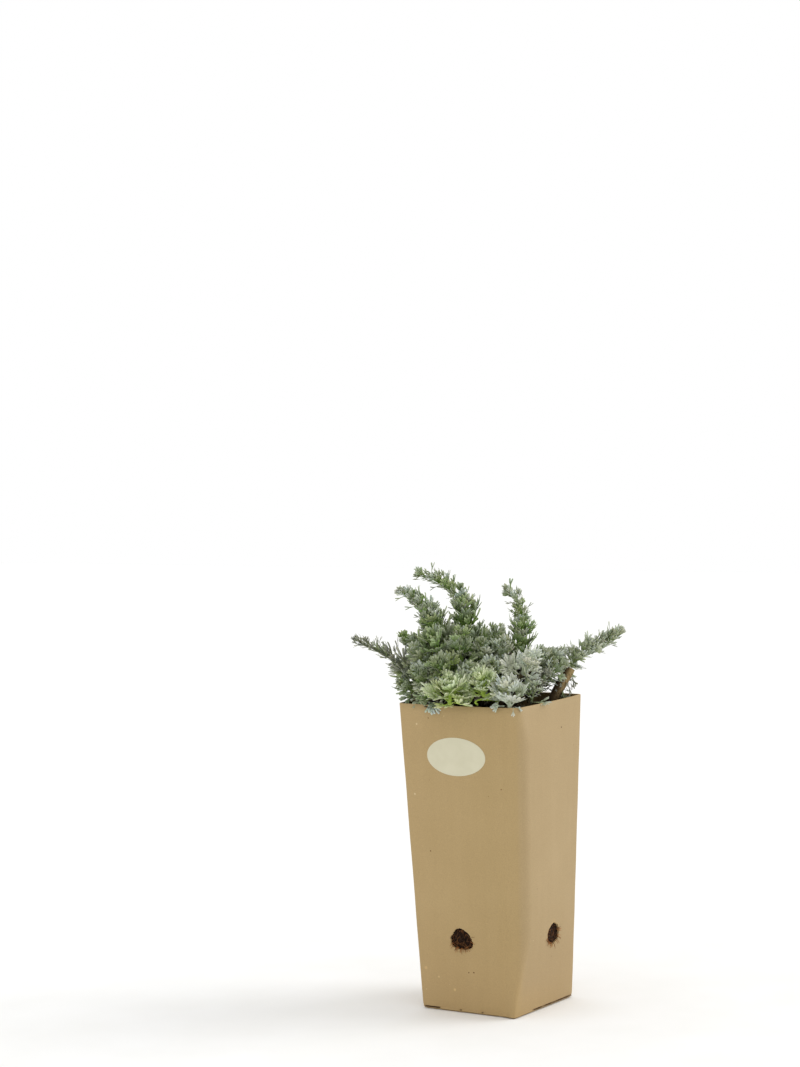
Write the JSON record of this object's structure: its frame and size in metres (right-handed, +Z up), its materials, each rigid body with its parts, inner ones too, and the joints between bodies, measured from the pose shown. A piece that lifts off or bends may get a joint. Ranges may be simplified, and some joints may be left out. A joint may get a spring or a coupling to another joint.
{
  "type": "potted caucasian wormwood",
  "caption": "Low silvery shrub of felted, finely cut leaves on a woody crown, with long arching shoots, in a tall tapered square board pot with drain holes and a blank oval label.",
  "frame": {"origin": "centre of the pot's flat bottom", "axes": "+Z up along the pot, -Y out of the labelled wall, +X out of the wall to its right"},
  "size_m": [0.1482, 0.1314, 0.2895],
  "materials": {
    "board": "matte",
    "label": "matte",
    "soil": "matte",
    "bark": "matte",
    "foliage_silver": "matte",
    "foliage_grey": "matte",
    "foliage_green": "matte",
    "foliage_lime": "matte"
  },
  "bodies": {
    "root": {"pot": "board", "label": "label", "soil": "soil", "crown": "bark", "bare_stem": "bark", "shoot_west": "foliage_grey", "shoot_northwest": "foliage_grey", "shoot_top": "foliage_green", "shoot_upright": "foliage_grey", "shoot_east": "foliage_silver", "rosette_01": "foliage_grey", "rosette_02": "foliage_grey", "rosette_03": "foliage_green", "rosette_04": "foliage_grey", "rosette_05": "foliage_green", "rosette_06": "foliage_grey", "rosette_07": "foliage_lime", "rosette_08": "foliage_grey", "rosette_09": "foliage_lime", "rosette_10": "foliage_green", "rosette_11": "foliage_grey", "rosette_12": "foliage_lime", "rosette_13": "foliage_grey", "rosette_14": "foliage_silver", "rosette_15": "foliage_silver", "rosette_16": "foliage_silver", "rosette_17": "foliage_silver", "rosette_18": "foliage_silver", "rosette_19": "foliage_grey", "rosette_20": "foliage_silver", "rosette_21": "foliage_grey", "rosette_22": "foliage_grey", "rosette_23": "foliage_green", "rosette_24": "foliage_grey", "rosette_25": "foliage_green", "rosette_26": "foliage_grey", "rosette_27": "foliage_grey", "rosette_28": "foliage_grey", "rosette_29": "foliage_silver", "rosette_30": "foliage_grey", "rosette_31": "foliage_green", "rosette_32": "foliage_grey", "rosette_33": "foliage_grey", "rosette_34": "foliage_silver", "rosette_35": "foliage_silver"}
  },
  "joints": []
}
